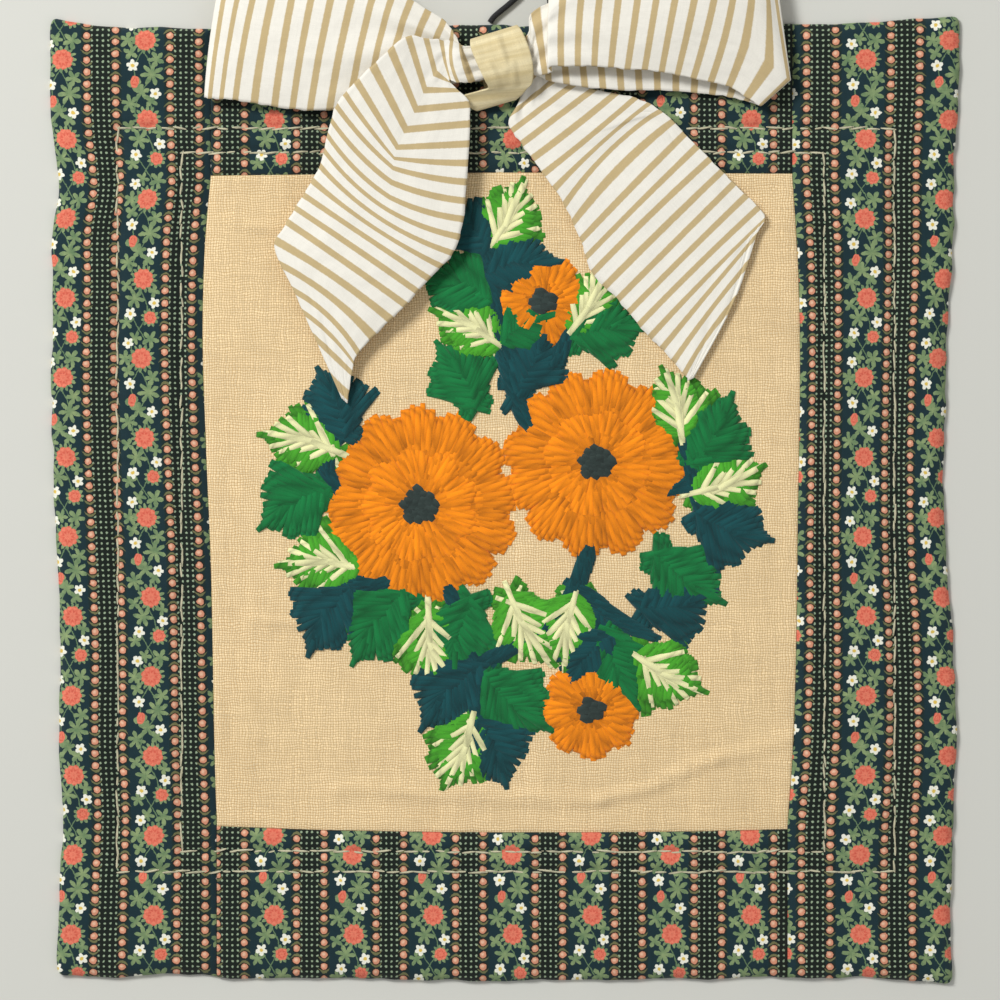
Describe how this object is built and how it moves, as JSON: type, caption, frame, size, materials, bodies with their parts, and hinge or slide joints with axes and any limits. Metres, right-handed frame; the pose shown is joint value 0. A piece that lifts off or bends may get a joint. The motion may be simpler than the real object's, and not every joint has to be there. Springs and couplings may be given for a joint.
{
  "type": "crewel embroidery panel",
  "caption": "Flat linen panel with raised wool flower embroidery, a quilted dark green patchwork border, a striped ribbon bow tied at the top and a black cord hanging loop",
  "frame": {"origin": "middle of the panel's flat back, on the surface that it lies on", "axes": "+Z out of the embroidered face, +Y to the top edge with the bow, +X to the right seen from the front"},
  "size_m": [0.3606, 0.4096, 0.0205],
  "materials": {
    "linen": "plain weave, matte",
    "calico": "printed cotton, matte",
    "ticking": "striped woven cotton, matte",
    "homespun": "loosely woven cotton, matte",
    "cord": "smooth elastic cord"
  },
  "bodies": {
    "root": {"linen_panel": "linen", "border_left": "calico", "border_right": "calico", "border_top": "calico", "border_bottom": "calico", "bow_strip": "ticking", "bow_knot": "homespun", "hanging_loop": "cord"}
  },
  "joints": []
}
